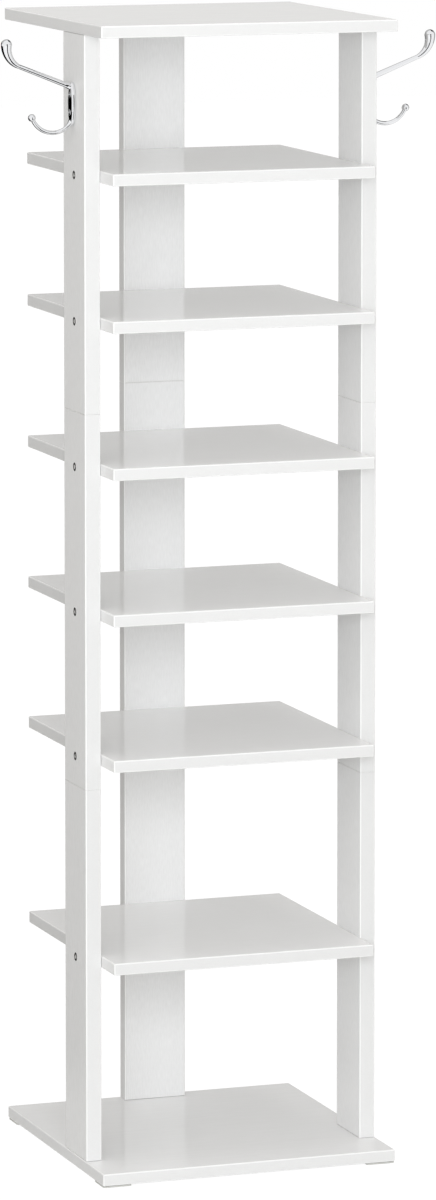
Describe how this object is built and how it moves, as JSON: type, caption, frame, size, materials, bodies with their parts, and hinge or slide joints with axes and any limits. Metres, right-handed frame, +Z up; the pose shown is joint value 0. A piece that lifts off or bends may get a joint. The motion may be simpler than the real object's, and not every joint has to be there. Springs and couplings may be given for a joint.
{
  "type": "shoe rack",
  "caption": "Tall free-standing square shoe rack: open stacked shelves between flat posts at the sides and back, with a chromed double coat hook on each side.",
  "frame": {"origin": "on the floor, under the middle of the square base", "axes": "+Z up, -Y towards the open front, +X towards the right-hand post seen from the front"},
  "size_m": [0.4956, 0.335, 1.2471],
  "materials": {
    "white_melamine": "particleboard faced and edged in satin white melamine with a fine embossed grain",
    "chrome": "bright chrome plate on a cast hook",
    "zinc_plated_steel": "zinc-plated screw steel",
    "beech": "plain beech dowel",
    "foam_pad": "dense self-adhesive foam"
  },
  "bodies": {
    "root": {"top_board": "white_melamine", "base_board": "white_melamine", "shelf_1": "white_melamine", "shelf_2": "white_melamine", "shelf_3": "white_melamine", "shelf_4": "white_melamine", "shelf_5": "white_melamine", "shelf_6": "white_melamine", "left_post_lower": "white_melamine", "left_post_middle": "white_melamine", "left_post_upper": "white_melamine", "right_post_lower": "white_melamine", "right_post_middle": "white_melamine", "right_post_upper": "white_melamine", "back_post_lower": "white_melamine", "back_post_middle": "white_melamine", "back_post_upper": "white_melamine", "left_coat_hook": "chrome", "right_coat_hook": "chrome", "left_hook_screw_1": "zinc_plated_steel", "left_hook_screw_2": "zinc_plated_steel", "right_hook_screw_1": "zinc_plated_steel", "right_hook_screw_2": "zinc_plated_steel", "left_shelf_screw_1": "zinc_plated_steel", "left_shelf_screw_2": "zinc_plated_steel", "left_shelf_screw_3": "zinc_plated_steel", "left_shelf_screw_4": "zinc_plated_steel", "left_shelf_screw_5": "zinc_plated_steel", "left_shelf_screw_6": "zinc_plated_steel", "right_shelf_screw_1": "zinc_plated_steel", "right_shelf_screw_2": "zinc_plated_steel", "right_shelf_screw_3": "zinc_plated_steel", "right_shelf_screw_4": "zinc_plated_steel", "right_shelf_screw_5": "zinc_plated_steel", "right_shelf_screw_6": "zinc_plated_steel", "back_shelf_screw_1": "zinc_plated_steel", "back_shelf_screw_2": "zinc_plated_steel", "back_shelf_screw_3": "zinc_plated_steel", "back_shelf_screw_4": "zinc_plated_steel", "back_shelf_screw_5": "zinc_plated_steel", "back_shelf_screw_6": "zinc_plated_steel", "left_base_screw_1": "zinc_plated_steel", "left_base_screw_2": "zinc_plated_steel", "right_base_screw_1": "zinc_plated_steel", "right_base_screw_2": "zinc_plated_steel", "back_base_screw_1": "zinc_plated_steel", "back_base_screw_2": "zinc_plated_steel", "left_joint_dowel_1": "beech", "left_joint_dowel_2": "beech", "right_joint_dowel_1": "beech", "right_joint_dowel_2": "beech", "back_joint_dowel_1": "beech", "back_joint_dowel_2": "beech", "left_top_dowel": "beech", "right_top_dowel": "beech", "back_top_dowel": "beech", "foot_pad_front_left": "foam_pad", "foot_pad_front_right": "foam_pad", "foot_pad_back_left": "foam_pad", "foot_pad_back_right": "foam_pad"}
  },
  "joints": []
}
